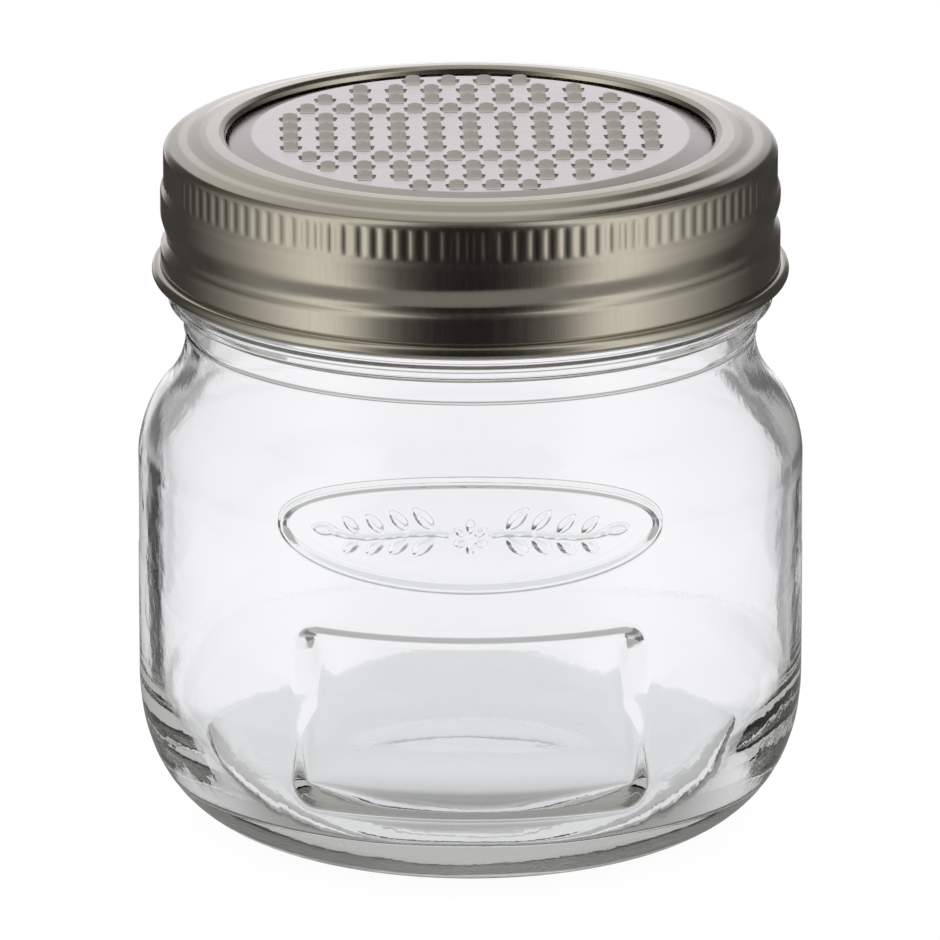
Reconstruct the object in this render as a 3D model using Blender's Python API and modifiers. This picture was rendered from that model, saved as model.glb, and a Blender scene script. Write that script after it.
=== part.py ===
import math

import bmesh
import bpy

# Storage jar: a squat glass jar closed by a screw band that holds a grater disc.
# Up is +Z, the label panel faces -Y, and the origin is under the middle of the foot.

mm = 0.001

# Clearances
fit_gap = 0.3 * mm
side_play = 0.65 * mm
band_play = 0.4 * mm
collar_gap = 0.6 * mm
lip_play = 0.8 * mm

# Sheet metal of the lid
sheet = 0.4 * mm

# Glass jar, with heights from the rim down
body_diameter = 83.8 * mm
jar_height = 86.7 * mm
glass_wall = 2.7 * mm
base_thickness = 5.0 * mm
foot_diameter = 48.2 * mm
foot_ring_width = 4.0 * mm
push_up = 2.2 * mm
heel_height = 19.7 * mm
heel_fullness = 2.3
shoulder_step = 6.05 * mm
shoulder_height = 16.3 * mm
shoulder_sweep_ratio = 0.78
neck_height = 2.3 * mm
collar_taper = 2.2 * mm
collar_height = 2.1 * mm
collar_step = 2.2 * mm
finish_step = 1.15 * mm
finish_wall = 3.9 * mm
rim_round = 1.3 * mm

# Label panel pressed into the front of the glass
panel_width = 44.8 * mm
panel_height = 24.6 * mm
panel_middle = 25.0 * mm
panel_corner = 5.0 * mm
panel_depth = 0.9 * mm

# Grater disc
plateau_rise = 1.45 * mm
plateau_slope = 2.3 * mm
slope_round = 0.6 * mm
tooth_pitch = 4.5 * mm
tooth_rows = (4, 7, 9, 10, 11, 11, 11, 11, 10, 9, 7, 4)
tooth_width = 1.8 * mm
tooth_tip_width = 1.0 * mm
tooth_height = 0.7 * mm
tooth_ramp = 0.6 * mm
tooth_reach = 1.6 * mm
notch_near_width = 2.4 * mm
notch_far_width = 3.0 * mm
notch_length = 2.1 * mm

# Screw band, with heights from its lower edge up
bead_height = 1.8 * mm
bead_bulge = 1.1 * mm
skirt_height = 10.5 * mm
knurl_height = 4.2 * mm
knurl_end = 0.4 * mm
knurl_depth = 0.3 * mm
knurl_floor = 0.3 * mm
knurl_step_in = 0.4 * mm
flange_corner = 2.4 * mm
flange_corner_drop = 0.9 * mm
flange_fall = 1.0 * mm
flange_width = 8.25 * mm
lip_drop = 0.9 * mm
groove_depth = 0.85 * mm
groove_half_turn = math.radians(150)
groove_fade = math.radians(30)
thread_lead = 4.0 * mm

# Facets
jar_steps = 44
disc_steps = 48
lid_steps = 62
ribs_per_step = 2

# Heights of the glass, found from the rim down so that the band always covers its finish
grip_and_skirt = bead_height + skirt_height + knurl_height + flange_corner_drop
finish_height = grip_and_skirt + collar_gap - 2 * sheet - 2 * fit_gap
collar_top = jar_height - finish_height
collar_full = collar_top - collar_height
collar_start = collar_full - collar_taper
shoulder_end = collar_start - neck_height
shoulder_start = shoulder_end - shoulder_height

# Radii of the glass and of the lid that fits it
body = body_diameter / 2
neck = body - shoulder_step
collar = neck + collar_step
finish = collar - finish_step
bore = finish - finish_wall
skirt = collar + band_play + sheet
grip_crest = skirt - knurl_step_in
grip_inner = grip_crest - knurl_depth - knurl_floor
disc_radius = grip_inner - side_play
lip = skirt - flange_width
plateau = lip - lip_play - plateau_slope

# Heights of the lid, stacked on the rim
disc_low = jar_height + fit_gap
disc_rim_top = disc_low + sheet
plateau_top = disc_rim_top + plateau_rise
flange_low = disc_rim_top + fit_gap + sheet
flange_high = flange_low + flange_fall
knurl_top = flange_low - flange_corner_drop
knurl_bottom = knurl_top - knurl_height
bead_top = knurl_bottom - skirt_height
band_bottom = bead_top - bead_height
groove_front = bead_top + skirt_height * 0.41
thread_width = skirt_height * 0.38


def arc(centre, radius, start, end, points):
    """Points on an arc in the radius-height plane, from start to end in degrees."""
    found = []
    for i in range(points):
        angle = math.radians(start + (end - start) * i / (points - 1))
        found.append((centre[0] + radius * math.cos(angle), centre[1] + radius * math.sin(angle)))
    return found


def add_material(obj, colour, roughness, metallic, alpha=1.0):
    mat = bpy.data.materials.new(obj.name)
    mat.use_nodes = True
    shader = mat.node_tree.nodes["Principled BSDF"]
    shader.inputs["Base Color"].default_value = (*colour, 1.0)
    shader.inputs["Roughness"].default_value = roughness
    shader.inputs["Metallic"].default_value = metallic
    shader.inputs["Alpha"].default_value = alpha
    obj.data.materials.append(mat)


def add_mesh(name, verts, edges, faces, group):
    mesh = bpy.data.meshes.new(name)
    mesh.from_pydata(verts, edges, faces)
    mesh.validate()
    obj = bpy.data.objects.new(name, mesh)
    group.objects.link(obj)
    return obj


def add_turned(name, profile, steps, group):
    """Turn a profile, listed down its outer side, about the Z axis."""
    verts = [(radius, 0.0, height) for radius, height in profile]
    edges = [(i, i + 1) for i in range(len(verts) - 1)]
    obj = add_mesh(name, verts, edges, [], group)
    turn = obj.modifiers.new("turn", "SCREW")
    turn.angle = math.tau
    turn.steps = steps
    turn.render_steps = steps
    turn.use_merge_vertices = True
    turn.merge_threshold = 0.00001
    return obj


def add_boolean(obj, other, operation):
    cut = obj.modifiers.new(other.name, "BOOLEAN")
    cut.operation = operation
    cut.object = other
    cut.solver = "EXACT"


def hide_helper(obj):
    obj.hide_render = True
    obj.display_type = "WIRE"


def shade_round(obj, angle=30.0):
    obj.data.shade_smooth()
    obj.data.set_sharp_from_angle(angle=math.radians(angle))


# Glass jar

def heel_points(inset, points):
    """The full curve from the foot up to the straight wall, as a superellipse."""
    foot = foot_diameter / 2
    wall = body - inset
    low = inset if inset else 0.0
    found = []
    for i in range(points):
        turn = math.pi / 2 * (1.0 - i / (points - 1))
        across = math.cos(turn) ** (2.0 / heel_fullness)
        rise = math.sin(turn) ** (2.0 / heel_fullness)
        found.append((foot + (wall - foot) * across, low + (heel_height - low) * (1.0 - rise)))
    return found


def shoulder_points(inset, points):
    """An S of two tangent arcs from the body up to the neck, listed upwards."""
    sweep = 2 * math.atan2(shoulder_step, shoulder_height)
    crown = shoulder_height / ((1 + shoulder_sweep_ratio) * math.sin(sweep))
    throat = crown * shoulder_sweep_ratio
    lower = arc((body - crown, shoulder_start), crown - inset, 0.0, math.degrees(sweep), points)
    upper = arc((neck + throat, shoulder_end), throat + inset, 180.0 + math.degrees(sweep), 180.0, points)
    return lower + upper[1:]


def outer_glass(inset=0.0):
    """The outer side from the finish down to the foot ring, inset for the panel's floor."""
    down = [(collar - inset, collar_full), (neck - inset, collar_start)]
    down += reversed(shoulder_points(inset, 6))
    down += reversed(heel_points(inset, 8))
    return down


def jar_profile():
    foot_inner = foot_diameter / 2 - foot_ring_width
    floor_low = base_thickness
    floor_high = base_thickness + push_up
    cavity = body - glass_wall
    heel_inner = heel_height + base_thickness * 0.4
    points = [(0.0, floor_high), (foot_inner * 0.6, floor_high * 0.92)]
    for i in range(6):
        turn = math.pi / 2 * i / 5
        points.append((
            foot_inner + (cavity - foot_inner) * math.sin(turn),
            floor_low + (heel_inner - floor_low) * (1.0 - math.cos(turn)),
        ))
    inner_shoulder = shoulder_points(glass_wall, 4)
    points += [p for p in inner_shoulder if p[0] > bore]
    points.append((bore, collar_start))
    points.append((bore, jar_height - rim_round))
    points += arc((bore + rim_round, jar_height - rim_round), rim_round, 180.0, 90.0, 4)[1:]
    points += arc((finish - rim_round, jar_height - rim_round), rim_round, 90.0, 0.0, 4)
    points.append((finish, collar_top + finish_step))
    points.append((collar, collar_top))
    points += outer_glass()
    points.append((foot_inner, 0.0))
    points += [(foot_inner * 0.75, push_up * 0.6), (foot_inner * 0.4, push_up * 0.92), (0.0, push_up)]
    return points


def rounded_outline(width, height, corner, points=4):
    """A rounded rectangle about the origin, listed anticlockwise."""
    found = []
    for sign_x, sign_z, start in ((1, 1, 0), (-1, 1, 90), (-1, -1, 180), (1, -1, 270)):
        middle = (sign_x * (width / 2 - corner), sign_z * (height / 2 - corner))
        found += arc(middle, corner, start, start + 90.0, points)
    return found


def add_panel_block(group):
    """A block that leaves only the pressed skin of the panel once the core is cut from it."""
    near = body * 1.1
    far = body * 0.7
    chord = 2 * body * math.sin(panel_width / 2 / body)
    outline = rounded_outline(chord, panel_height, panel_corner)
    count = len(outline)
    verts = [(x, -near, panel_middle + z) for x, z in outline]
    verts += [(x, -far, panel_middle + z) for x, z in outline]
    faces = [list(range(count)), list(range(2 * count - 1, count - 1, -1))]
    for i in range(count):
        j = (i + 1) % count
        faces.append([j, i, count + i, count + j])
    return add_mesh("panel_block", verts, [], faces, group)


def add_jar(group, helpers):
    jar = add_turned("glass_jar", jar_profile(), jar_steps, group)
    core_profile = [(0.0, collar_start)] + outer_glass(panel_depth)[1:]
    core_profile.append((0.0, core_profile[-1][1]))
    core = add_turned("panel_core", core_profile, jar_steps, helpers)
    block = add_panel_block(helpers)
    add_boolean(block, core, "DIFFERENCE")
    add_boolean(jar, block, "DIFFERENCE")
    hide_helper(core)
    hide_helper(block)
    shade_round(jar)
    add_material(jar, (0.86, 0.9, 0.9), 0.03, 0.0, 0.35)


# Grater disc

def disc_profile():
    """The disc from its raised middle out to the rim and back underneath."""
    edge = plateau
    foot = edge + plateau_slope
    lean = sheet * 0.5
    return [
        (0.0, plateau_top),
        (edge, plateau_top),
        (edge + slope_round, plateau_top - slope_round * 0.3),
        (foot - slope_round * 0.5, disc_rim_top + slope_round * 0.3),
        (foot + slope_round * 0.5, disc_rim_top),
        (disc_radius, disc_rim_top),
        (disc_radius, disc_low),
        (foot + slope_round * 0.5 - lean, disc_low),
        (foot - slope_round * 0.5 - lean, disc_low + slope_round * 0.3),
        (edge + slope_round - lean, plateau_top - sheet - slope_round * 0.3),
        (edge - lean, plateau_top - sheet),
        (0.0, plateau_top - sheet),
    ]


def tooth_places():
    """Middles of the slots, in rows from the back to the front, where the plateau has room."""
    for row, count in enumerate(tooth_rows):
        y = ((len(tooth_rows) - 1) / 2 - row) * tooth_pitch
        for i in range(count):
            x = (i - (count - 1) / 2) * tooth_pitch
            if math.hypot(abs(x) + notch_far_width / 2, abs(y) + notch_length / 2) < plateau:
                yield x, y


def add_notches(group):
    """One cutter with a tapered slot behind every tooth."""
    verts = []
    faces = []
    high = plateau_top + sheet
    low = plateau_top - 2 * sheet
    near = notch_near_width / 2
    far = notch_far_width / 2
    half = notch_length / 2
    corners = [(-near, -half), (near, -half), (far, half), (-far, half)]
    for x, y in tooth_places():
        first = len(verts)
        for height in (low, high):
            verts += [(x + dx, y + dy, height) for dx, dy in corners]
        faces.append([first + 3, first + 2, first + 1, first])
        faces.append([first + 4, first + 5, first + 6, first + 7])
        for i in range(4):
            j = (i + 1) % 4
            faces.append([first + i, first + j, first + 4 + j, first + 4 + i])
    return add_mesh("tooth_slots", verts, [], faces, group)


def add_tongues(group):
    """One body of bent tongues, each rooted in the sheet in front of its slot."""
    verts = []
    faces = []
    root_half = tooth_width / 2
    tip_half = tooth_tip_width / 2
    near_edge = -notch_length / 2
    bend = tooth_reach * 0.7
    slope = tooth_height / (tooth_ramp + tooth_reach)
    stations = [
        (near_edge - tooth_ramp, root_half, 0.0),
        (near_edge + bend, root_half, (tooth_ramp + bend) * slope),
        (near_edge + tooth_reach, tip_half, tooth_height),
    ]
    for x, y in tooth_places():
        first = len(verts)
        for along, half, rise in stations:
            top = plateau_top + rise + sheet * 0.05
            under = top - sheet * 0.9
            verts += [(x - half, y + along, under), (x + half, y + along, under)]
            verts += [(x + half, y + along, top), (x - half, y + along, top)]
        last = first + 4 * (len(stations) - 1)
        faces.append([first, first + 1, first + 2, first + 3])
        faces.append([last + 3, last + 2, last + 1, last])
        for start in range(first, last, 4):
            for i in range(4):
                j = (i + 1) % 4
                faces.append([start + j, start + i, start + 4 + i, start + 4 + j])
    return add_mesh("tooth_tongues", verts, [], faces, group)


def add_disc(group, helpers):
    disc = add_turned("grater_disc", disc_profile(), disc_steps, group)
    slots = add_notches(helpers)
    tongues = add_tongues(helpers)
    add_boolean(disc, slots, "DIFFERENCE")
    add_boolean(disc, tongues, "UNION")
    hide_helper(slots)
    hide_helper(tongues)
    shade_round(disc)
    add_material(disc, (0.72, 0.71, 0.7), 0.28, 1.0)


# Screw band

def ease(value):
    value = min(max(value, 0.0), 1.0)
    return value * value * (3.0 - 2.0 * value)


def turn_from_front(angle):
    """Signed angle from the front, rising anticlockwise seen from above."""
    return (angle + math.pi / 2 + math.pi) % math.tau - math.pi


def groove_height(angle):
    """Height of the rolled thread's valley, which returns behind the band where it has faded."""
    turn = turn_from_front(angle)
    climb = thread_lead / math.tau
    if abs(turn) <= groove_half_turn:
        return groove_front + climb * turn
    back = (math.pi - abs(turn)) / (math.pi - groove_half_turn)
    return groove_front + math.copysign(climb * groove_half_turn * back, turn)


def groove_strength(angle):
    return ease((groove_half_turn - abs(turn_from_front(angle))) / groove_fade)


# Places across the rolled thread, as heights in widths above its valley and shares of its depth
thread_shape = (
    (0.75, 0.0),
    (0.55, 0.12),
    (0.3, 0.62),
    (0.05, 1.0),
    (-0.05, 0.96),
    (-0.15, 0.5),
    (-0.3, 0.0),
    (-0.5, -0.15),
)


def band_column(angle):
    """Outer and inner points of the sheet at one angle, both listed from the lip downwards."""
    corner = skirt - flange_corner
    strength = groove_strength(angle)
    valley = groove_height(angle)
    crest = flange_high + sheet * 0.3
    upper_outer = [
        (lip, crest - lip_drop),
        (lip + sheet * 0.4, crest - lip_drop * 0.35),
        (lip + sheet * 2, crest),
        (lip + sheet * 5, crest),
        (lip + sheet * 9, flange_high - flange_fall * 0.2),
        (corner, flange_low + flange_fall * 0.35),
        (corner + flange_corner * 0.5, flange_low),
        (grip_crest - sheet * 0.3, flange_low - flange_corner_drop * 0.55),
    ]
    upper_inner = [
        (lip + sheet, crest - lip_drop),
        (lip + sheet * 1.2, crest - lip_drop * 0.5 - sheet * 0.3),
        (lip + sheet * 2.2, crest - sheet),
        (lip + sheet * 5, crest - sheet),
        (lip + sheet * 9, flange_high - flange_fall * 0.2 - sheet),
        (corner - sheet * 0.3, flange_low + flange_fall * 0.35 - sheet),
        (corner + flange_corner * 0.5 - sheet, flange_low - sheet),
    ]
    rolled = []
    for lift, share in thread_shape:
        radius = skirt - groove_depth * share * strength
        rolled.append((radius, valley + lift * thread_width))
    inner_rolled = [(radius - sheet, height) for radius, height in rolled]
    bead_middle = band_bottom + bead_height / 2
    bead_outer = [
        (skirt, bead_top + bead_height * 0.1),
        (skirt + bead_bulge * 0.75, bead_top - bead_height * 0.2),
        (skirt + bead_bulge, bead_middle),
        (skirt + bead_bulge * 0.7, band_bottom + bead_height * 0.12),
        (skirt + bead_bulge * 0.1, band_bottom),
    ]
    bead_inner = [
        (skirt - sheet, bead_top + bead_height * 0.1),
        (skirt - sheet, band_bottom + bead_height * 0.2),
    ]
    return upper_outer, upper_inner, rolled, inner_rolled, bead_outer, bead_inner


def add_band(group):
    """The band as one closed sheet: rows of points round the axis, ribbed where the grip is."""
    mesh = bpy.data.meshes.new("screw_band")
    bm = bmesh.new()
    rows = []

    def add_row(places):
        row = []
        for angle, (radius, height) in places:
            row.append(bm.verts.new((radius * math.cos(angle), radius * math.sin(angle), height)))
        rows.append(row)

    angles = [math.tau * i / lid_steps for i in range(lid_steps)]
    columns = [band_column(angle) for angle in angles]

    for i in range(len(columns[0][0])):
        add_row([(a, c[0][i]) for a, c in zip(angles, columns)])
    add_row([(a, (grip_crest, knurl_top)) for a in angles])
    fine_count = 2 * ribs_per_step * lid_steps
    fine = [math.tau * i / fine_count for i in range(fine_count)]
    for height in (knurl_top - knurl_end, knurl_bottom + knurl_end):
        add_row([(a, (grip_crest - knurl_depth * (i % 2), height)) for i, a in enumerate(fine)])
    add_row([(a, (grip_crest, knurl_bottom)) for a in angles])
    add_row([(a, (skirt, knurl_bottom - knurl_step_in * 2)) for a in angles])
    for i in range(len(thread_shape)):
        add_row([(a, c[2][i]) for a, c in zip(angles, columns)])
    for i in range(len(columns[0][4])):
        add_row([(a, c[4][i]) for a, c in zip(angles, columns)])
    for i in reversed(range(len(columns[0][5]))):
        add_row([(a, c[5][i]) for a, c in zip(angles, columns)])
    for i in reversed(range(len(thread_shape))):
        add_row([(a, c[3][i]) for a, c in zip(angles, columns)])
    add_row([(a, (grip_inner, knurl_bottom)) for a in angles])
    add_row([(a, (grip_inner, knurl_top)) for a in angles])
    for i in reversed(range(len(columns[0][1]))):
        add_row([(a, c[1][i]) for a, c in zip(angles, columns)])

    for first, second in zip(rows, rows[1:] + rows[:1]):
        join_rows(bm, first, second)
    bmesh.ops.triangulate(bm, faces=bm.faces[:])
    bm.normal_update()
    bm.to_mesh(mesh)
    bm.free()
    band = bpy.data.objects.new("screw_band", mesh)
    group.objects.link(band)
    shade_round(band)
    add_material(band, (0.55, 0.53, 0.48), 0.3, 1.0)


def join_rows(bm, upper, lower):
    """Faces between two rings of points, where one may have a whole multiple of the other's points."""
    coarse = min(len(upper), len(lower))
    up_step = len(upper) // coarse
    low_step = len(lower) // coarse
    for i in range(coarse):
        top = [upper[(i * up_step + k) % len(upper)] for k in range(up_step + 1)]
        bottom = [lower[(i * low_step + k) % len(lower)] for k in range(low_step + 1)]
        bm.faces.new(bottom + top[::-1])


def main():
    for obj in list(bpy.data.objects):
        bpy.data.objects.remove(obj, do_unlink=True)
    group = bpy.data.collections.new("storage_jar")
    helpers = bpy.data.collections.new("cutters")
    bpy.context.scene.collection.children.link(group)
    bpy.context.scene.collection.children.link(helpers)
    add_jar(group, helpers)
    add_disc(group, helpers)
    add_band(group)


main()
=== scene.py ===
import math

import bmesh
import bpy
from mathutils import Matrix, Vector, noise


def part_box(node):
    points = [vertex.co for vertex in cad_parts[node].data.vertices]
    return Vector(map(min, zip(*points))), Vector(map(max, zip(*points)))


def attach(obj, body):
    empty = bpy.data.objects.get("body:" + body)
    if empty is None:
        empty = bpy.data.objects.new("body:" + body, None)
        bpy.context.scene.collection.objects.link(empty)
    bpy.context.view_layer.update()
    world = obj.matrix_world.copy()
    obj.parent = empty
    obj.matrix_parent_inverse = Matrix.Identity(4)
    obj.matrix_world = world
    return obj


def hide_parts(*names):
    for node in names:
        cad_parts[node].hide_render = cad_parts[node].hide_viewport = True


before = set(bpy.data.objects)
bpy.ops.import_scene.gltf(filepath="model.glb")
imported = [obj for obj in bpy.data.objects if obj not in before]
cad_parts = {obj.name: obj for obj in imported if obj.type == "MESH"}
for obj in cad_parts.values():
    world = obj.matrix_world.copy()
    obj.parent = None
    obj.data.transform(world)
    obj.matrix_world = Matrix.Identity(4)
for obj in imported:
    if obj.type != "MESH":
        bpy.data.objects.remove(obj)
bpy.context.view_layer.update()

mm = 0.001


# Shared helpers

def toLinear(hexColour, alpha=1.0):
    channels = [int(hexColour[i:i + 2], 16) / 255 for i in (1, 3, 5)]
    linear = [c / 12.92 if c <= 0.04045 else ((c + 0.055) / 1.055) ** 2.4 for c in channels]
    return (*linear, alpha)


def addNode(tree, kind, settings=None, inputs=None):
    node = tree.nodes.new(kind)
    for name, value in (settings or {}).items():
        setattr(node, name, value)
    for key, value in (inputs or {}).items():
        if isinstance(value, bpy.types.NodeSocket):
            tree.links.new(value, node.inputs[key])
        else:
            node.inputs[key].default_value = value
    return node


def newMaterial(name):
    material = bpy.data.materials.new(name)
    material.use_nodes = True
    tree = material.node_tree
    shader = tree.nodes["Principled BSDF"]
    place = addNode(tree, "ShaderNodeTexCoord").outputs["Object"]
    return material, tree, shader, place


def setRamp(node, stops):
    ramp = node.color_ramp
    ramp.elements[0].position, ramp.elements[-1].position = stops[0][0], stops[-1][0]
    for position, level in stops[1:-1]:
        ramp.elements.new(position)
    for element, (position, level) in zip(ramp.elements, stops):
        element.color = (level, level, level, 1.0) if isinstance(level, float) else level


def ease(value):
    value = min(max(value, 0.0), 1.0)
    return value * value * (3.0 - 2.0 * value)


def hill(distance, halfWidth):
    return ease(1.0 - abs(distance) / halfWidth)


def turnOf(point):
    # angle from the front, anticlockwise seen from above, from -pi to pi
    return math.atan2(point.x, -point.y)


def roundCorners(corners, steps=6):
    # corners are (radius from the axis, height, corner radius), in millimetres
    out = [Vector(corners[0][:2])]
    for before, here, after in zip(corners, corners[1:], corners[2:]):
        corner = Vector(here[:2])
        back = Vector(before[:2]) - corner
        on = Vector(after[:2]) - corner
        half = back.angle(on) / 2
        if here[2] == 0 or half > math.radians(89.5):
            out.append(corner)
            continue
        reach = min(here[2] / math.tan(half), back.length * 0.48, on.length * 0.48)
        radius = reach * math.tan(half)
        middle = corner + (back.normalized() + on.normalized()).normalized() * radius / math.sin(half)
        first = corner + back.normalized() * reach - middle
        last = corner + on.normalized() * reach - middle
        for i in range(steps + 1):
            out.append(middle + first.slerp(last, i / steps).normalized() * radius)
    out.append(Vector(corners[-1][:2]))
    return out


def splitLong(points, pitch):
    # adds points so that no stretch is longer than the pitch
    out = [points[0]]
    for before, here in zip(points, points[1:]):
        count = max(1, math.ceil((here - before).length / pitch - 0.001))
        for i in range(1, count + 1):
            out.append(before.lerp(here, i / count))
    return out


def spinProfile(bm, points, arcs):
    # arcs are (start in degrees from the front, end, steps, how often that stretch is repeated)
    for start, end, steps, repeats in arcs:
        turn = math.radians(start) - math.pi / 2
        sweep = math.radians(end - start) / repeats
        verts = [bm.verts.new((p.x * mm * math.cos(turn), p.x * mm * math.sin(turn), p.y * mm))
                 for p in points]
        edges = [bm.edges.new(pair) for pair in zip(verts, verts[1:])]
        old = set(bm.faces)
        bmesh.ops.spin(bm, geom=verts + edges, axis=(0, 0, 1), angle=sweep, steps=steps)
        made = [face for face in bm.faces if face not in old]
        bmesh.ops.spin(bm, geom=made, axis=(0, 0, 1), angle=sweep * (repeats - 1),
                       steps=repeats - 1, use_duplicate=True)
    bmesh.ops.remove_doubles(bm, verts=bm.verts, dist=0.002 * mm)
    bmesh.ops.recalc_face_normals(bm, faces=bm.faces)


def makePiece(name, bm, sharpAngle=40.0):
    mesh = bpy.data.meshes.new(name)
    bm.to_mesh(mesh)
    bm.free()
    mesh.shade_smooth()
    mesh.set_sharp_from_angle(angle=math.radians(sharpAngle))
    piece = bpy.data.objects.new(name, mesh)
    bpy.context.scene.collection.objects.link(piece)
    return piece


def report(stage):
    print("made", stage)


# Clear glass jar, pressed and blown, with its label panel, relief and thread

jarLow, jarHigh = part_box("glass_jar")
jar = {
    "bodyRadius": jarHigh.x / mm,
    "height": jarHigh.z / mm,
    "wall": 2.45,
    "thinSide": 0.6,
    "thinBottom": 14.0,
    "thinTop": 54.0,
    "thinFade": 8.0,
    "base": 7.9,
    "crown": 0.35,
    "floorRound": 1.6,
    "baseWall": 4.1,
    "pushUp": 1.2,
    "footRadius": 24.1,
    "footRing": 4.0,
    "heelHeight": 19.7,
    "heelFullness": 2.3,
    "shoulderStart": 47.2,
    "shoulderEnd": 63.5,
    "shoulderSweepRatio": 0.78,
    "neckRadius": 35.85,
    "collarStart": 67.2,
    "collarFull": 68.0,
    "collarTop": 70.1,
    "collarRadius": 38.05,
    "finishRadius": 36.9,
    "boreRadius": 33.0,
    "rimRound": 1.3,
    "frontHalf": 36.0,
    "frontSteps": 162,
    "restSteps": 72,
    "rowPitch": 0.4,
    "fineFrom": 41.0,
    "fineTo": 56.5,
}
panel = {
    "halfWidth": 23.2,
    "halfHeight": 12.0,
    "middle": 24.05,
    "corner": 3.6,
    "depth": 1.15,
    "topSlope": 1.4,
    "sideSlope": 3.4,
    "sideSlopeLow": 1.5,
    "ledge": 3.0,
    "rim": 0.2,
    "rimHalfWidth": 0.8,
    "shallowShare": 0.6,
    "shallowWidth": 6.0,
}
sprig = {
    "middle": 48.6,
    "ringHalfWidth": 24.5,
    "ringHalfHeight": 6.6,
    "lineHalfWidth": 0.75,
    "rise": 0.42,
    "leafPairs": 4,
    "fieldBottom": 30.0,
    "fieldTop": 62.0,
    "bottomFade": 12.0,
    "topFade": 8.0,
    "sideFade": 0.5,
}
thread = {"front": 79.3, "lead": 4.0, "halfTurn": 172.0, "fade": 22.0, "height": 0.95, "halfWidth": 1.3}


def heelCurve(radius, low, count):
    foot = jar["footRadius"]
    power = 2.0 / jar["heelFullness"]
    out = []
    for i in range(count):
        turn = math.pi / 2 * (1.0 - i / (count - 1))
        across = foot + (radius - foot) * max(0.0, math.cos(turn)) ** power
        rise = (jar["heelHeight"] - low) * (1.0 - math.sin(turn) ** power)
        out.append(Vector((across, low + rise)))
    return out


def heelRadius(height):
    foot, power = jar["footRadius"], jar["heelFullness"]
    rise = max(0.0, min(1.0, 1 - height / jar["heelHeight"]))
    return foot + (jar["bodyRadius"] - foot) * (1 - rise ** power) ** (1 / power)


def shoulderCurve(inset, count):
    step = jar["bodyRadius"] - jar["neckRadius"]
    rise = jar["shoulderEnd"] - jar["shoulderStart"]
    sweep = 2 * math.atan2(step, rise)
    crown = rise / ((1 + jar["shoulderSweepRatio"]) * math.sin(sweep))
    throat = crown * jar["shoulderSweepRatio"]
    out = []
    for i in range(count):
        turn = sweep * i / (count - 1)
        out.append(Vector((jar["bodyRadius"] - crown + (crown - inset) * math.cos(turn),
                           jar["shoulderStart"] + (crown - inset) * math.sin(turn))))
    for i in range(1, count):
        turn = sweep * (1 - i / (count - 1))
        out.append(Vector((jar["neckRadius"] + throat - (throat + inset) * math.cos(turn),
                           jar["shoulderEnd"] - (throat + inset) * math.sin(turn))))
    return out


def jarOutside():
    ring = jar["footRadius"] - jar["footRing"]
    under = [Vector((ring * i / 12, jar["pushUp"] * (1 - (i / 12) ** 2) ** 2)) for i in range(13)]
    under.append(Vector((jar["footRadius"] - 0.5, 0)))
    heel = splitLong(heelCurve(jar["bodyRadius"], 0.0, 44), jar["rowPitch"] * 1.6)
    stops = [Vector((jar["bodyRadius"], z)) for z in (jar["fineFrom"], jar["shoulderStart"])]
    wall = splitLong([heel[-1], stops[0]], jar["rowPitch"])
    wall += splitLong(stops, jar["rowPitch"] * 0.65)[1:]
    curve = shoulderCurve(0.0, 24)
    fine = [p for p in curve if p.y < jar["fineTo"]]
    shoulder = splitLong(fine, jar["rowPitch"] * 0.65) + curve[len(fine):]
    neckTop = roundCorners([
        (jar["neckRadius"], jar["shoulderEnd"], 0),
        (jar["neckRadius"], 63.95, 0),
        (jar["neckRadius"] + 0.2, 64.2, 0.1),
        (jar["neckRadius"] + 0.05, 64.45, 0),
        (jar["neckRadius"] + 0.15, jar["collarStart"] - 0.1, 0.5),
        (jar["collarRadius"] - 0.2, jar["collarFull"] - 0.15, 0.15),
        (jar["collarRadius"] - 0.05, jar["collarFull"] + 0.1, 0.15),
        (jar["collarRadius"] - 0.65, jar["collarFull"] + 0.75, 0.6),
        (jar["collarRadius"], jar["collarTop"] - 0.3, 0.3),
        (jar["finishRadius"] + 0.3, jar["collarTop"] + 0.7, 0.5),
        (jar["finishRadius"], jar["collarTop"] + 1.3, 0.5),
        (jar["finishRadius"], jar["height"], jar["rimRound"]),
        (jar["boreRadius"], jar["height"], jar["rimRound"]),
        (jar["boreRadius"], jar["collarStart"], 0),
    ])
    top = [i for i, p in enumerate(neckTop) if p.x >= jar["finishRadius"] - 0.001][-1]
    outerTop = splitLong(neckTop[:top + 1], jar["rowPitch"] * 1.25)
    return under + heel[1:] + wall[1:] + shoulder[1:] + outerTop[1:] + neckTop[top + 1:-1]


def jarInside():
    # from the mouth down to the middle of the floor
    shoulder = [p for p in shoulderCurve(jar["wall"], 12) if p.x > jar["boreRadius"] + 0.05]
    out = [Vector((jar["boreRadius"], jar["collarStart"]))] + shoulder[::-1]
    heelTop = jar["heelHeight"] + 1.0
    heel = []
    for i in range(16):
        height = heelTop - (heelTop - jar["base"]) * i / 15
        grown = jar["wall"] + (jar["baseWall"] - jar["wall"]) * (i / 15) ** 1.5
        heel.append((heelRadius(height) - grown, height, 0))
    heel[-1] = (heel[-1][0], jar["base"], jar["floorRound"])
    out += roundCorners(heel + [(heel[-1][0] * 0.55, jar["base"] + jar["crown"] * 0.6, 0)], 5)
    out.append(Vector((0, jar["base"] + jar["crown"])))
    return splitLong(out, 2.2)


def boxDistance(across, up, halfWidth, halfHeight, corner):
    # how far inside a rounded rectangle a point lies
    dx = abs(across) - halfWidth + corner
    dy = abs(up) - halfHeight + corner
    return corner - math.hypot(max(dx, 0), max(dy, 0)) - min(max(dx, dy), 0)


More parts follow.
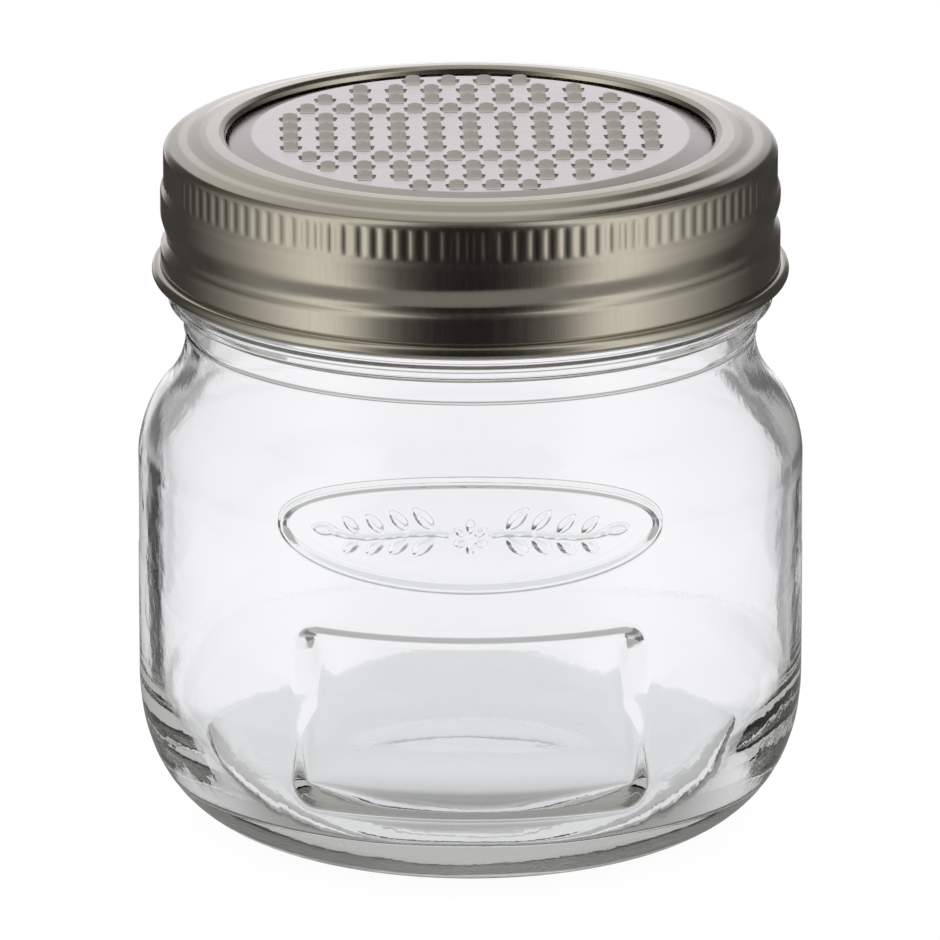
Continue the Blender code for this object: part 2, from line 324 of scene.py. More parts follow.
def towardEnds(across, height):
    # 0 beside the panel's upright edges, 1 beside its top and bottom edges
    dx = abs(across) - panel["halfWidth"] + panel["corner"]
    dy = abs(height - panel["middle"]) - panel["halfHeight"] + panel["corner"]
    if dx > 0 and dy > 0:
        return math.atan2(dy, dx) / (math.pi / 2)
    return 1.0 if dy > dx else 0.0


def leafRelief(across, up, middleX, middleY, lean, halfLength, halfWidth):
    dx, dy = across - middleX, up - middleY
    along = dx * math.cos(lean) + dy * math.sin(lean)
    aside = dy * math.cos(lean) - dx * math.sin(lean)
    room = halfWidth * (1 - (along / halfLength) ** 2)
    if room <= 0:
        return 0.0
    return ease((room - abs(aside)) / 0.55) * (0.75 + 0.25 * ease(abs(aside) / 0.35))


def sprigRelief(across, up):
    # plain twin sprigs of leaves on either side of a small flower, inside an oval ring
    ring = sprig["ringHalfWidth"], sprig["ringHalfHeight"]
    level = math.hypot(across / ring[0], up / ring[1])
    slope = math.hypot(across / ring[0] ** 2, up / ring[1] ** 2) / max(level, 0.01)
    best = hill((level - 1) / max(slope, 0.001), sprig["lineHalfWidth"])
    side = abs(across)
    stem = 0.5 * math.sin(side * 0.33)
    if 2.5 < side < 17.5:
        best = max(best, hill(up - stem, 0.4) * 0.8)
    for i in range(sprig["leafPairs"]):
        at = 4.6 + i * 3.1
        size = 1.0 - 0.07 * i
        for way in (1, -1):
            best = max(best, leafRelief(side, up, at + 1.2, 0.5 * math.sin(at * 0.33) + way * 1.7 * size,
                                        way * 0.75, 2.1 * size, 0.85 * size))
    best = max(best, leafRelief(side, up, 18.6, 0.0, 0.0, 1.9, 0.8))
    for i in range(6):
        turn = math.pi / 3 * i + math.pi / 6
        best = max(best, leafRelief(across, up, 1.3 * math.cos(turn), 1.3 * math.sin(turn), turn, 1.1, 0.6))
    return best * sprig["rise"]


def shapeOutside(vert, radius):
    # presses the panel in, shallow at its upper sides, and raises the ornament and the thread
    point = vert.co / mm
    turn = turnOf(point)
    outward = Vector((point.x, point.y, 0)).normalized()
    height = point.z
    if abs(turn) < math.radians(jar["frontHalf"]) and height < jar["shoulderEnd"]:
        chord = radius * math.sin(turn)
        across = jar["bodyRadius"] * math.asin(max(-1, min(1, chord / jar["bodyRadius"])))
        inside = boxDistance(across, height - panel["middle"], panel["halfWidth"],
                             panel["halfHeight"], panel["corner"])
        up = (height - panel["middle"]) / panel["halfHeight"]
        ends = ease((towardEnds(across, height) - 0.2) / 0.6)
        slope = panel["sideSlope"] + (panel["sideSlopeLow"] - panel["sideSlope"]) * ease((0.2 - up) / 0.4)
        endSlope = panel["topSlope"] if up > 0 else panel["ledge"]
        slope += (endSlope - slope) * ends
        share = min(max(inside / slope, 0.0), 1.0)
        press = panel["depth"] * (0.8 * share + 0.2 * ease(share))
        if up < 0:
            press -= panel["rim"] * hill(inside, panel["rimHalfWidth"]) * ends
        shallow = ease((abs(across) - panel["halfWidth"]) / panel["shallowWidth"] + 1.1)
        shallow *= ease((0.9 - up) / 0.8) * ease((up + 0.8) / 0.8)
        press *= 1 - panel["shallowShare"] * shallow
        inward = -outward
        if height < jar["heelHeight"]:
            lift = (jar["heelHeight"] - height) / jar["heelHeight"]
            inward = (inward + Vector((0, 0, lift))).normalized()
        vert.co += inward * press * mm
        flat = ease((height - sprig["fieldBottom"]) / sprig["bottomFade"])
        flat *= ease((sprig["fieldTop"] - height) / sprig["topFade"])
        flat *= ease((math.radians(jar["frontHalf"]) - abs(turn)) / sprig["sideFade"])
        vert.co -= outward * sprig["rise"] * flat * mm
        if abs(height - sprig["middle"]) < sprig["ringHalfHeight"] + 1.5:
            lean = 1.0 if height < jar["shoulderStart"] else 1.02
            vert.co += outward * sprigRelief(across, (height - sprig["middle"]) * lean) * mm
    if height > jar["collarTop"] + 1.0:
        degrees = math.degrees(turn)
        middle = thread["front"] + thread["lead"] * degrees / 360
        strength = ease((thread["halfTurn"] - abs(degrees)) / thread["fade"])
        offset = ease(1.25 - abs(height - middle) / thread["halfWidth"])
        vert.co += outward * thread["height"] * strength * offset * mm


def shapeInside(vert):
    # the blown inner side is a little uneven, most of all where it meets the floor, and the wall
    # is thinner on the right
    point = vert.co / mm
    outward = Vector((point.x, point.y, 0)).normalized() if point.xy.length > 0.01 else Vector((0, 0, 0))
    low = ease((26.0 - point.z) / 16.0)
    wave = noise.noise(point / 15.0) * 0.05 + noise.noise(point / 12.0 + Vector((7, 3, 1))) * 0.1 * low
    thin = ease(2 * outward.x - 1) * ease((jar["thinTop"] - point.z) / jar["thinFade"])
    thin *= ease((point.z - jar["thinBottom"]) / jar["thinFade"])
    wave += jar["thinSide"] * thin
    vert.co += outward * wave * mm
    vert.co.z += noise.noise(point / 12.0 + Vector((1, 9, 4))) * 0.12 * low * mm


def jarGlass():
    # soda-lime glass, pressed and blown: clear, very slightly green, with a soft unevenness and a
    # ring of short radial ribs pressed into the foot
    material, tree, shader, place = newMaterial("sodaLimeGlass")
    shader.inputs["Base Color"].default_value = toLinear("#FDFEFE")
    shader.inputs["Transmission Weight"].default_value = 1.0
    shader.inputs["Roughness"].default_value = 0.0
    shader.inputs["IOR"].default_value = 1.52
    sweep = addNode(tree, "ShaderNodeTexNoise", None,
                    {"Vector": place, "Scale": 1 / (11 * mm), "Detail": 2.0, "Roughness": 0.45})
    fine = addNode(tree, "ShaderNodeTexNoise", None,
                   {"Vector": place, "Scale": 1 / (1.6 * mm), "Detail": 2.0, "Roughness": 0.5})
    parts = addNode(tree, "ShaderNodeSeparateXYZ", None, {"Vector": place})
    angle = addNode(tree, "ShaderNodeMath", {"operation": "ARCTAN2"},
                    {0: parts.outputs["X"], 1: parts.outputs["Y"]})
    ribs = addNode(tree, "ShaderNodeMath", {"operation": "MULTIPLY"}, {0: angle.outputs[0], 1: 96.0})
    wave = addNode(tree, "ShaderNodeMath", {"operation": "SINE"}, {0: ribs.outputs[0]})
    low = addNode(tree, "ShaderNodeMapRange", {"interpolation_type": "SMOOTHSTEP"},
                  {"Value": parts.outputs["Z"], "From Min": 0.6 * mm, "From Max": 0.1 * mm})
    foot = addNode(tree, "ShaderNodeMath", {"operation": "MULTIPLY"},
                   {0: wave.outputs[0], 1: low.outputs[0]})
    soft = addNode(tree, "ShaderNodeBump", None,
                   {"Height": sweep.outputs["Fac"], "Strength": 0.3, "Distance": 0.2 * mm})
    grainy = addNode(tree, "ShaderNodeBump", None,
                     {"Height": fine.outputs["Fac"], "Strength": 0.15, "Distance": 0.05 * mm,
                      "Normal": soft.outputs["Normal"]})
    ribbed = addNode(tree, "ShaderNodeBump", None,
                     {"Height": foot.outputs[0], "Strength": 0.15, "Distance": 0.012 * mm,
                      "Normal": grainy.outputs["Normal"]})
    tree.links.new(ribbed.outputs["Normal"], shader.inputs["Normal"])
    return material


def isOutside(radius, height):
    # tells the outer side from the inner one by half the wall
    if height < jar["base"] * 0.75:
        return True
    if height > jar["shoulderEnd"]:
        return radius > (jar["boreRadius"] + jar["finishRadius"]) / 2
    if height > jar["shoulderStart"]:
        share = (height - jar["shoulderStart"]) / (jar["shoulderEnd"] - jar["shoulderStart"])
        middle = jar["bodyRadius"] - (jar["bodyRadius"] - jar["neckRadius"]) * ease(share)
        return radius > middle - jar["wall"] * 0.5
    if height > jar["heelHeight"]:
        return radius > jar["bodyRadius"] - jar["wall"] * 0.5
    return radius > heelRadius(height) - jar["wall"] * 0.55


def buildJar():
    outside = jarOutside()
    inside = jarInside()
    bm = bmesh.new()
    half = jar["frontHalf"]
    arcs = [(-half, half, 9, jar["frontSteps"] // 9), (half, 360 - half, 9, jar["restSteps"] // 9)]
    spinProfile(bm, outside + inside, arcs)
    for vert in bm.verts:
        radius = vert.co.xy.length / mm
        height = vert.co.z / mm
        if isOutside(radius, height):
            shapeOutside(vert, radius)
        else:
            shapeInside(vert)
    bmesh.ops.recalc_face_normals(bm, faces=bm.faces)
    piece = makePiece("clear_glass_jar", bm, 60.0)
    piece.data.materials.append(jarGlass())
    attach(piece, "jar")
    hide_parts("glass_jar")
    report("glass jar")
    return piece


# Screw band, rolled from thin steel sheet

band = {
    "sheet": 0.4,
    "skirt": 38.85,
    "grip": 38.45,
    "lip": 30.6,
    "ribs": 124,
    "stepsPerRib": 5,
    "ribTop": 87.0,
    "ribBottom": 82.9,
    "ribDepth": 0.14,
    "ribHalfWidth": 0.64,
    "valleyFront": 76.7,
    "valleyDepth": 0.85,
    "valleyAbove": 3.2,
    "valleyBelow": 1.1,
    "valleyHalfTurn": 150.0,
    "valleyFade": 30.0,
    "lead": 4.0,
    "beadMiddle": 71.6,
    "beadRadius": 0.9,
    "rowPitch": 0.42,
}


def bandOutline():
    sheet, skirt, grip, lip = band["sheet"], band["skirt"], band["grip"], band["lip"]
    outer = roundCorners([
        (lip, 88.3, 0),
        (lip + 0.15, 88.85, 0.25),
        (lip + 0.9, 89.2, 0.5),
        (lip + 2.4, 89.12, 1.4),
        (lip + 3.4, 88.94, 1.2),
        (lip + 4.7, 88.46, 1.4),
        (36.7, 88.3, 2.0),
        (37.8, 87.85, 1.4),
        (38.3, 87.3, 0.8),
        (grip, 86.9, 0.8),
        (grip, 82.9, 1.0),
        (skirt, 82.0, 2.0),
        (skirt, 72.7, 0),
    ], 4)
    bead = []
    middle = skirt + 0.2
    for i in range(15):
        turn = math.radians(115 - 300 * i / 14)
        bead.append(Vector((middle + band["beadRadius"] * math.cos(turn),
                            band["beadMiddle"] + band["beadRadius"] * math.sin(turn))))
    inner = roundCorners([
        (skirt - sheet, 72.0, 0),
        (skirt - sheet, 82.0, 2.0),
        (grip - sheet - 0.1, 82.9, 1.0),
        (grip - sheet - 0.1, 86.6, 0.7),
        (37.5, 87.4, 1.2),
        (36.2, 87.95, 1.5),
        (lip + 4.5, 88.12, 0.6),
        (lip + 3.1, 88.58, 0.4),
        (lip + 2.2, 88.72, 0.4),
        (lip + 1.1, 88.8, 0.4),
        (lip + 0.5, 88.6, 0.2),
        (lip + 0.4, 88.3, 0),
    ], 2)
    outer = splitLong(outer, band["rowPitch"])
    inner = splitLong(inner, band["rowPitch"] * 3.5)
    return outer + [p for p in bead if p.x > skirt - sheet - 0.02 or p.y < band["beadMiddle"]] + inner


def valleyStrength(degrees):
    return ease((band["valleyHalfTurn"] - abs(degrees)) / band["valleyFade"])


def shapeBand(vert):
    point = vert.co / mm
    turn = turnOf(point)
    outward = Vector((point.x, point.y, 0)).normalized()
    radius, height = point.xy.length, point.z
    if radius > 37.6 and band["ribBottom"] - 1 < height < band["ribTop"] + 1:
        share = (turn / math.tau * band["ribs"] + 0.5) % 1.0 - 0.5
        aside = share * math.tau * band["grip"] / band["ribs"]
        half = (band["ribTop"] - band["ribBottom"]) / 2
        beyond = max(0.0, abs(height - band["ribBottom"] - half) - half + 0.5)
        vert.co -= outward * band["ribDepth"] * hill(math.hypot(aside, beyond), band["ribHalfWidth"]) * mm
    if 72.7 < height < 82.0:
        degrees = math.degrees(turn)
        above = height - band["valleyFront"] - band["lead"] * degrees / 360
        if above > 0:
            share = max(0.0, 1 - above / band["valleyAbove"])
            share = 0.55 * share + 0.45 * ease(share)
        else:
            share = ease(1 + above / band["valleyBelow"])
        ends = ease((height - 72.7) / 0.8) * ease((82.0 - height) / 0.8)
        vert.co -= outward * band["valleyDepth"] * share * ends * valleyStrength(degrees) * mm


def bandSteel():
    # tin-free steel sheet with a satin lacquer: a warm grey that spreads highlights up and down,
    # with fine lines from drawing that run from the flange to the curl
    material, tree, shader, place = newMaterial("satinSteelBand")
    shader.inputs["Metallic"].default_value = 1.0
    shader.inputs["Anisotropic"].default_value = 0.35
    lines = addNode(tree, "ShaderNodeMapping", None,
                    {"Vector": place, "Scale": (1 / (0.35 * mm), 1 / (0.35 * mm), 1 / (9 * mm))})
    streaks = addNode(tree, "ShaderNodeTexNoise", None,
                      {"Vector": lines.outputs["Vector"], "Scale": 1.0, "Detail": 3.0, "Roughness": 0.6})
    patches = addNode(tree, "ShaderNodeTexNoise", None,
                      {"Vector": place, "Scale": 1 / (14 * mm), "Detail": 2.0, "Roughness": 0.5})
    tone = addNode(tree, "ShaderNodeValToRGB", None, {"Fac": patches.outputs["Fac"]})
    setRamp(tone, [(0.3, toLinear("#C9C5BC")), (0.7, toLinear("#D0CCC4"))])
    tree.links.new(tone.outputs["Color"], shader.inputs["Base Color"])
    haze = addNode(tree, "ShaderNodeMapRange", None,
                   {"Value": streaks.outputs["Fac"], "From Min": 0.3, "From Max": 0.7,
                    "To Min": 0.19, "To Max": 0.26})
    tree.links.new(haze.outputs["Result"], shader.inputs["Roughness"])
    bump = addNode(tree, "ShaderNodeBump", None,
                   {"Height": streaks.outputs["Fac"], "Strength": 0.15, "Distance": 0.02 * mm})
    tree.links.new(bump.outputs["Normal"], shader.inputs["Normal"])
    return material


def buildBand():
    bm = bmesh.new()
    outline = bandOutline()
    spinProfile(bm, outline + [outline[0].copy()], [(0, 360, band["stepsPerRib"] * 4, band["ribs"] // 4)])
    for vert in bm.verts:
        shapeBand(vert)
    bmesh.ops.recalc_face_normals(bm, faces=bm.faces)
    piece = makePiece("rolled_screw_band", bm, 50.0)
    piece.data.materials.append(bandSteel())
    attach(piece, "band")
    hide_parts("screw_band")
    report("screw band")
    return piece


# Grater disc, stamped from bright steel sheet

discLow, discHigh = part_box("grater_disc")
disc = {
    "sheet": 0.4,
    "low": discLow.z / mm,
    "radius": 37.2,
    "plateau": 27.4,
    "shoulder": 30.1,
    "shoulderDrop": 0.85,
    "foot": 31.3,
    "top": 88.85,
    "steps": 192,
    "turn": 1.3,
    "pitch": 4.5,
    "rows": (4, 7, 9, 10, 11, 11, 11, 11, 10, 9, 7, 4),
    "toothHalf": 0.92,
    "toothTop": 0.68,
    "toothRound": 0.42,
    "toothReach": 2.3,
    "rootAhead": 1.65,
    "slotNear": 1.2,
    "slotFar": 1.5,
    "slotHalfLength": 1.05,
}


def discOutline():
    sheet = disc["sheet"]
    low = disc["low"]
    rim = low + sheet
    upper = roundCorners([
        (0, disc["top"], 0), (disc["plateau"], disc["top"], 1.2),
        (disc["shoulder"], disc["top"] - disc["shoulderDrop"], 1.0), (disc["foot"], rim, 0.6),
        (disc["radius"], rim, 0.12), (disc["radius"], low, 0.12), (disc["foot"] - 0.15, low, 0.5),
        (disc["shoulder"] - 0.2, disc["top"] - disc["shoulderDrop"] - sheet, 1.0),
        (disc["plateau"] - 0.1, disc["top"] - sheet, 1.3), (0, disc["top"] - sheet, 0)], 5)
    return upper


def toothMiddles():
    turn = math.radians(disc["turn"])
    for row, count in enumerate(disc["rows"]):
        y = ((len(disc["rows"]) - 1) / 2 - row) * disc["pitch"]
        for i in range(count):
            x = (i - (count - 1) / 2) * disc["pitch"]
            yield Vector((x * math.cos(turn) - y * math.sin(turn),
                          x * math.sin(turn) + y * math.cos(turn), 0))


def extrudeOutline(bm, outline, low, high, middle):
    verts = [bm.verts.new((middle + Vector((x, y, low))) * mm) for x, y in outline]
    face = bm.faces.new(verts)
    made = bmesh.ops.extrude_face_region(bm, geom=[face])["geom"]
    top = [g for g in made if isinstance(g, bmesh.types.BMVert)]
    bmesh.ops.translate(bm, verts=top, vec=(0, 0, (high - low) * mm))


def slotCutters():
    near, far, half = disc["slotNear"], disc["slotFar"], disc["slotHalfLength"]
    corners = [(-near, -half, 0.3), (near, -half, 0.3), (far, half, 0.4), (-far, half, 0.4)]
    looped = [corners[-1]] + corners + [corners[0]]
    outline = [tuple(p) for p in roundCorners(looped, 3)[1:-1]]
    bm = bmesh.new()
    for middle in toothMiddles():
        extrudeOutline(bm, outline, disc["top"] - 1.2, disc["top"] + 1.2, middle)
    bmesh.ops.recalc_face_normals(bm, faces=bm.faces)
    return makePiece("slot_cutters", bm)


def tongues():
    # each tongue is a small grid, bent up out of its slot and given the sheet's thickness
    bm = bmesh.new()
    half, reach = disc["toothHalf"], disc["toothReach"]
    for middle in toothMiddles():
        grid = bmesh.ops.create_grid(bm, x_segments=6, y_segments=6, size=0.5)["verts"]
        for vert in grid:
            along = 1 - (0.5 - vert.co.y) ** 1.6
            left = min(max((1 - along) * reach, 0), disc["toothRound"])
            corner = disc["toothRound"]
            width = half - corner + math.sqrt(corner ** 2 - (corner - left) ** 2)
            x = vert.co.x * 2 * width
            y = along * reach - disc["rootAhead"]
            rise = max(0.3 * along, (along - 0.2) / 0.8)
            z = disc["top"] + 0.02 + disc["toothTop"] * rise - 0.06 * (2 * vert.co.x) ** 4 * along
            vert.co = (middle + Vector((x, y, z))) * mm
    upper = bm.faces[:]
    bmesh.ops.recalc_face_normals(bm, faces=upper)
    for face in bm.faces:
        if face.normal.z < 0:
            face.normal_flip()
    bmesh.ops.solidify(bm, geom=upper, thickness=0.32 * mm)
    bmesh.ops.recalc_face_normals(bm, faces=bm.faces)
    return makePiece("tooth_tongues", bm)


def discSteel():
    # bright stainless sheet, cold rolled: pale, with very fine lines all one way
    material, tree, shader, place = newMaterial("brightSteelDisc")
    shader.inputs["Metallic"].default_value = 1.0
    lines = addNode(tree, "ShaderNodeMapping", None,
                    {"Vector": place, "Scale": (1 / (7 * mm), 1 / (0.22 * mm), 1 / (2 * mm))})
    streaks = addNode(tree, "ShaderNodeTexNoise", None,
                      {"Vector": lines.outputs["Vector"], "Scale": 1.0, "Detail": 3.0, "Roughness": 0.6})
    tone = addNode(tree, "ShaderNodeValToRGB", None, {"Fac": streaks.outputs["Fac"]})
    setRamp(tone, [(0.3, toLinear("#D3D0D0")), (0.7, toLinear("#D9D6D6"))])
    tree.links.new(tone.outputs["Color"], shader.inputs["Base Color"])
    haze = addNode(tree, "ShaderNodeMapRange", None,
                   {"Value": streaks.outputs["Fac"], "From Min": 0.3, "From Max": 0.7,
                    "To Min": 0.22, "To Max": 0.3})
    tree.links.new(haze.outputs["Result"], shader.inputs["Roughness"])
    bump = addNode(tree, "ShaderNodeBump", None,
                   {"Height": streaks.outputs["Fac"], "Strength": 0.06, "Distance": 0.01 * mm})
    tree.links.new(bump.outputs["Normal"], shader.inputs["Normal"])
    return material


def buildDisc():
    bm = bmesh.new()
    spinProfile(bm, discOutline(), [(0, 360, 12, disc["steps"] // 12)])
    plate = makePiece("toothed_plate", bm)
    cutters, teeth = slotCutters(), tongues()
    for other, operation in ((cutters, "DIFFERENCE"), (teeth, "UNION")):
        change = plate.modifiers.new(other.name, "BOOLEAN")
        change.operation = operation
        change.object = other
        change.solver = "EXACT"
    bpy.context.view_layer.update()
    finished = bpy.data.meshes.new_from_object(plate.evaluated_get(bpy.context.evaluated_depsgraph_get()))
    for helper in (plate, cutters, teeth):
        bpy.data.objects.remove(helper)
    bm = bmesh.new()
    bm.from_mesh(finished)
    bpy.data.meshes.remove(finished)
    piece = makePiece("grater_plate", bm, 32.0)
    piece.data.materials.clear()
    piece.data.materials.append(discSteel())
    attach(piece, "disc")
    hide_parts("grater_disc")
    report("grater disc")
    return piece


# Studio

studio = {
    "floorRadius": 0.125,
    "cameraDistance": 1.5,
    "cameraElevation": 16.97,
    "lookHeight": 0.04479,
    "lookAside": -0.00006,
    "lens": 455.7,
}


def paintOver(tree, ground, zones):
    # a zone is (colour, strength, ranges), and a range is (reading, where it starts, where it is full)
    for colour, share, ranges in zones:
        for reading, start, full in ranges:
            edge = addNode(tree, "ShaderNodeMapRange", {"interpolation_type": "SMOOTHSTEP"},
                           {"Value": reading, "From Min": start, "From Max": full})
            share = addNode(tree, "ShaderNodeMath", {"operation": "MULTIPLY"},
                            {0: edge.outputs["Result"], 1: share}).outputs[0]
        ground = addNode(tree, "ShaderNodeMix", {"data_type": "RGBA"},
                         {0: share, 6: ground, 7: colour}).outputs[2]
    return ground


def floorPaint():
    # white table top: bright to the eye yet shaded by what stands on it, plain grey in the metal,
    # and seen through the glass a painted shadow of the jar: pale grey under it, white round it and dark
    # grey from under its front forward; further out, and far to the sides, it is left out, where the studio
    # behind takes its place
    material = bpy.data.materials.new("whiteTable")
    material.use_nodes = True
    tree = material.node_tree
    tree.nodes.remove(tree.nodes["Principled BSDF"])
    path = addNode(tree, "ShaderNodeLightPath")
    seen = addNode(tree, "ShaderNodeMath", {"operation": "MULTIPLY"},
                   {0: path.outputs["Is Camera Ray"], 1: 0.9})
    plain = addNode(tree, "ShaderNodeBsdfDiffuse", None, {"Color": toLinear("#F2F2F2")})
    bright = addNode(tree, "ShaderNodeEmission", None, {"Color": (1, 1, 1, 1), "Strength": 1.06})
    both = addNode(tree, "ShaderNodeMixShader", None,
                   {0: seen.outputs[0], 1: plain.outputs[0], 2: bright.outputs[0]})
    dull = addNode(tree, "ShaderNodeEmission", None, {"Color": (0.27, 0.262, 0.245, 1), "Strength": 1.0})
    mirrored = addNode(tree, "ShaderNodeMixShader", None,
                       {0: path.outputs["Is Glossy Ray"], 1: both.outputs[0], 2: dull.outputs[0]})
    place = addNode(tree, "ShaderNodeTexCoord").outputs["Object"]
    parts = addNode(tree, "ShaderNodeSeparateXYZ", None, {"Vector": place})
    reach = addNode(tree, "ShaderNodeVectorMath", {"operation": "LENGTH"}, {0: place}).outputs["Value"]
    # painted shadow of the jar, seen only through the glass: pale grey near its foot, white from 46 to 53
    # mm out, dark grey towards the front
    shade = paintOver(tree, (0.85, 0.845, 0.865, 1), [
        ((1.0, 0.985, 1.01, 1), 1.0, [(reach, 46 * mm, 53 * mm)]),
        ((0.34, 0.34, 0.325, 1), 1.0, [(parts.outputs["Y"], -6 * mm, -28 * mm)])])
    near = addNode(tree, "ShaderNodeEmission", None, {"Color": shade, "Strength": 1.0})
    clear = addNode(tree, "ShaderNodeBsdfTransparent")
    aside = addNode(tree, "ShaderNodeMath", {"operation": "ABSOLUTE"}, {0: parts.outputs["X"]})
    far = addNode(tree, "ShaderNodeMapRange", {"interpolation_type": "SMOOTHSTEP"},
                  {"Value": reach, "From Min": 84 * mm, "From Max": 90 * mm})
    wide = addNode(tree, "ShaderNodeMapRange", {"interpolation_type": "SMOOTHSTEP"},
                   {"Value": aside.outputs[0], "From Min": 46 * mm, "From Max": 50 * mm})
    leftOut = addNode(tree, "ShaderNodeMath", {"operation": "MAXIMUM"},
                      {0: far.outputs["Result"], 1: wide.outputs["Result"]})
    inGlass = addNode(tree, "ShaderNodeMixShader", None,
                      {0: leftOut.outputs[0], 1: near.outputs[0], 2: clear.outputs[0]})
    through = addNode(tree, "ShaderNodeMixShader", None,
                      {0: path.outputs["Is Transmission Ray"], 1: mirrored.outputs[0],
                       2: inGlass.outputs[0]})
    tree.links.new(through.outputs[0], tree.nodes["Material Output"].inputs["Surface"])
    return material


def buildFloor():
    bm = bmesh.new()
    bmesh.ops.create_circle(bm, cap_ends=True, segments=96, radius=studio["floorRadius"])
    bmesh.ops.translate(bm, verts=bm.verts, vec=(0, 0, -0.02 * mm))
    floor = makePiece("table_top", bm)
    floor.data.materials.append(floorPaint())


def warm(level):
    return (level, level * 0.97, level * 0.87, 1.0)


def cool(level):
    return (level, level * 0.985, level * 1.01, 1.0)


def metalView(tree, aside, off, rise):
    # what the metal mirrors: two soft lights at the front sides and a bright window behind, with a
    # grey card low at both of its sides, a black one high on the right, and a dull ceiling
    facing = addNode(tree, "ShaderNodeMath", {"operation": "COSINE"}, {0: off})
    back = addNode(tree, "ShaderNodeMath", {"operation": "MULTIPLY_ADD"},
                   {0: facing.outputs[0], 1: 0.5, 2: 0.5})
    lobes = addNode(tree, "ShaderNodeValToRGB", None, {"Fac": back.outputs[0]})
    setRamp(lobes, [(0.0, warm(0.012)), (0.02, warm(0.02)), (0.076, warm(0.13)), (0.165, warm(0.85)),
                    (0.22, warm(1.0)), (0.281, warm(0.9)), (0.413, warm(0.55)), (0.552, warm(0.3)),
                    (0.687, warm(0.15)), (0.808, warm(0.045)), (0.905, warm(0.06)), (1.0, warm(0.1))])
    height = addNode(tree, "ShaderNodeMath", {"operation": "MULTIPLY_ADD"}, {0: rise, 1: 0.5, 2: 0.5})
    window = addNode(tree, "ShaderNodeValToRGB", None, {"Fac": height.outputs[0]})
    setRamp(window, [(0.0, cool(0.3)), (0.2, cool(0.35)), (0.33, cool(1.1)), (0.44, cool(1.5)),
                     (0.48, cool(1.45)), (0.53, cool(1.0)), (0.645, cool(1.02)), (0.71, cool(0.75)),
                     (0.76, warm(0.64)), (0.83, warm(0.56)), (0.9, warm(0.52)), (1.0, warm(0.45))])
    halfWidth = addNode(tree, "ShaderNodeMapRange", None,
                        {"Value": rise, "From Min": 0.35, "From Max": 0.85, "To Min": 0.36, "To Max": 1.0})
    moved = addNode(tree, "ShaderNodeMath", {"operation": "ADD"}, {0: aside, 1: 0.08})
    reach = addNode(tree, "ShaderNodeMath", {"operation": "ABSOLUTE"}, {0: moved.outputs[0]})
    within = addNode(tree, "ShaderNodeMath", {"operation": "SUBTRACT"},
                     {0: halfWidth.outputs["Result"], 1: reach.outputs[0]}).outputs[0]
    dimmed = paintOver(tree, window.outputs["Color"], [
        ((0, 0, 0, 1), 0.33, [(off, 0.05, 0.16), (rise, 0.5, 0.4)])])
    return paintOver(tree, lobes.outputs["Color"], [
        (dimmed, 1.0, [(within, -0.05, 0.05)]),
        (warm(0.06), 1.0, [(off, 0.1, 0.18), (off, 0.8, 0.6), (rise, -0.14, -0.22)]),
        (warm(0.0), 1.0, [(aside, 0.26, 0.32), (aside, 0.75, 0.62), (rise, 0.48, 0.56),
                          (rise, 0.92, 0.86)]),
        (warm(0.2), 1.0, [(rise, 0.93, 0.99)])])


def glassView(tree, aside, off, rise):
    # what shows through the glass: white behind, a dark card at each side of it, grey above and
    # below, and the upper ends of the cards, which show at the shoulders
    turned = addNode(tree, "ShaderNodeMath", {"operation": "MULTIPLY_ADD"},
                     {0: aside, 1: 0.5 / math.pi, 2: 0.5})
    screens = addNode(tree, "ShaderNodeValToRGB", None, {"Fac": turned.outputs[0]})
    stops = [(-180, 0.7), (-60, 0.85), (-42, 0.7), (-38, 0.05), (-24, 0.05), (-21, 0.9), (-8, 1.0),
             (9.5, 1.0), (11, 0.3), (12.5, 0.08), (21, 0.05), (25, 0.6), (60, 0.8), (180, 0.7)]
    setRamp(screens, [(0.5 + degrees / 360, cool(level)) for degrees, level in stops])
    return paintOver(tree, screens.outputs["Color"], [
        ((0.45, 0.45, 0.44, 1), 1.0, [(off, 0.16, 0.22), (rise, -0.25, -0.2)]),
        ((0.5, 0.5, 0.49, 1), 1.0, [(rise, -0.09, 0.05)]),
        (cool(0.18), 1.0, [(aside, 0.14, 0.22), (aside, 0.9, 0.7), (rise, -0.2, -0.13),
                           (rise, 0.02, -0.06)]),
        (cool(0.18), 1.0, [(aside, -0.26, -0.34), (aside, -0.8, -0.65), (rise, -0.2, -0.13),
                           (rise, 0.02, -0.06)]),
        ((0.42, 0.42, 0.4, 1), 1.0, [(rise, -0.335, -0.38)])])


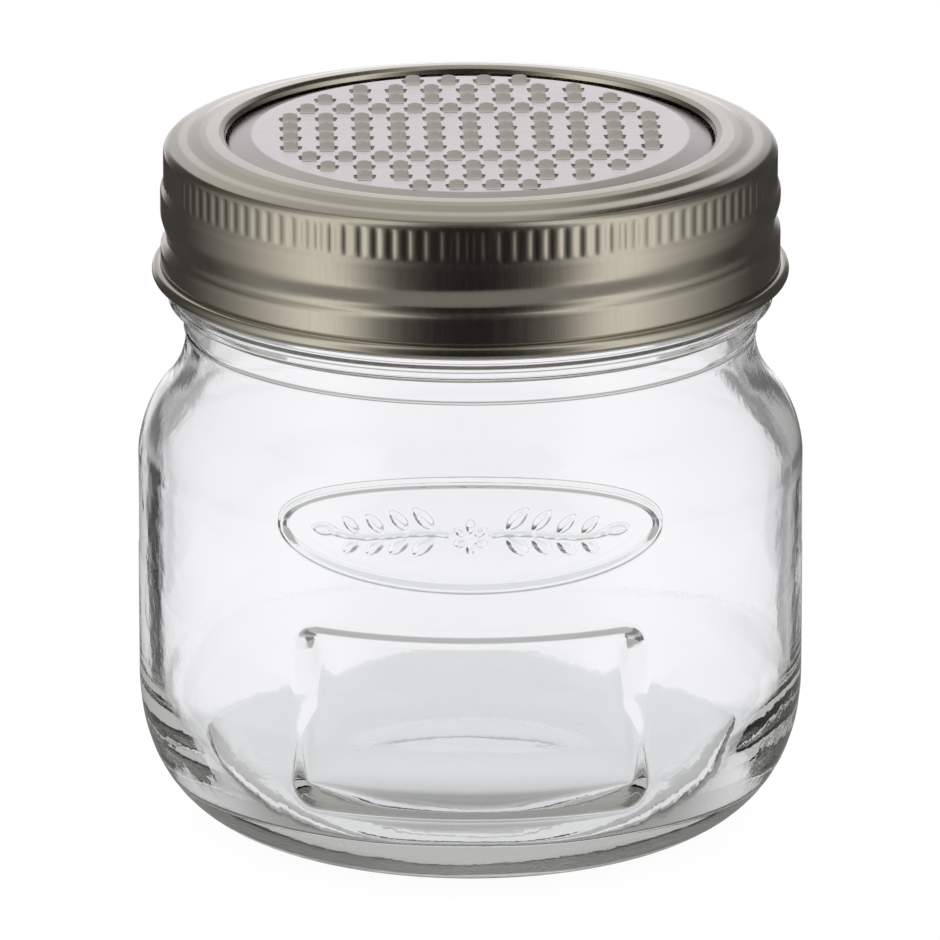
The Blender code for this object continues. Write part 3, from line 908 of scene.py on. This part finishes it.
def buildSky():
    # The studio round the table, painted by direction: aside is the angle from straight behind the
    # jar, to the right when it is positive, off is its size, and rise is the sine of the height.
    world = bpy.data.worlds.new("studio")
    bpy.context.scene.world = world
    world.use_nodes = True
    tree = world.node_tree
    tree.nodes.clear()
    way = addNode(tree, "ShaderNodeTexCoord").outputs["Generated"]
    parts = addNode(tree, "ShaderNodeSeparateXYZ", None, {"Vector": way})
    rise = parts.outputs["Z"]
    aside = addNode(tree, "ShaderNodeMath", {"operation": "ARCTAN2"},
                    {0: parts.outputs["X"], 1: parts.outputs["Y"]}).outputs[0]
    off = addNode(tree, "ShaderNodeMath", {"operation": "ABSOLUTE"}, {0: aside}).outputs[0]
    shown = metalView(tree, aside, off, rise)
    path = addNode(tree, "ShaderNodeLightPath")
    for ray, colour in (("Is Transmission Ray", glassView(tree, aside, off, rise)),
                        ("Is Diffuse Ray", (0.95, 0.95, 0.95, 1)),
                        ("Is Camera Ray", (1, 1, 1, 1))):
        shown = addNode(tree, "ShaderNodeMix", {"data_type": "RGBA"},
                        {0: path.outputs[ray], 6: shown, 7: colour}).outputs[2]
    back = addNode(tree, "ShaderNodeBackground", None, {"Color": shown, "Strength": 1.0})
    out = addNode(tree, "ShaderNodeOutputWorld")
    tree.links.new(back.outputs[0], out.inputs["Surface"])


def buildCamera():
    lift = math.radians(studio["cameraElevation"])
    look = Vector((studio["lookAside"], 0, studio["lookHeight"]))
    back = Vector((0, -math.cos(lift), math.sin(lift)))
    data = bpy.data.cameras.new("camera")
    data.lens = studio["lens"]
    data.sensor_width = 36.0
    camera = bpy.data.objects.new("camera", data)
    bpy.context.scene.collection.objects.link(camera)
    camera.location = look + back * studio["cameraDistance"]
    camera.rotation_mode = "QUATERNION"
    camera.rotation_quaternion = (-back).to_track_quat("-Z", "Y")
    data.clip_start, data.clip_end = 0.05, 20.0
    bpy.context.scene.camera = camera


buildCamera()
buildSky()
buildFloor()
buildJar()
buildBand()
buildDisc()
bpy.context.scene.view_settings.view_transform = "Standard"

# light turns back many times in the thick glass of the base before it comes out
bpy.context.scene.cycles.max_bounces = 32
bpy.context.scene.cycles.glossy_bounces = 24
bpy.context.scene.cycles.transmission_bounces = 32
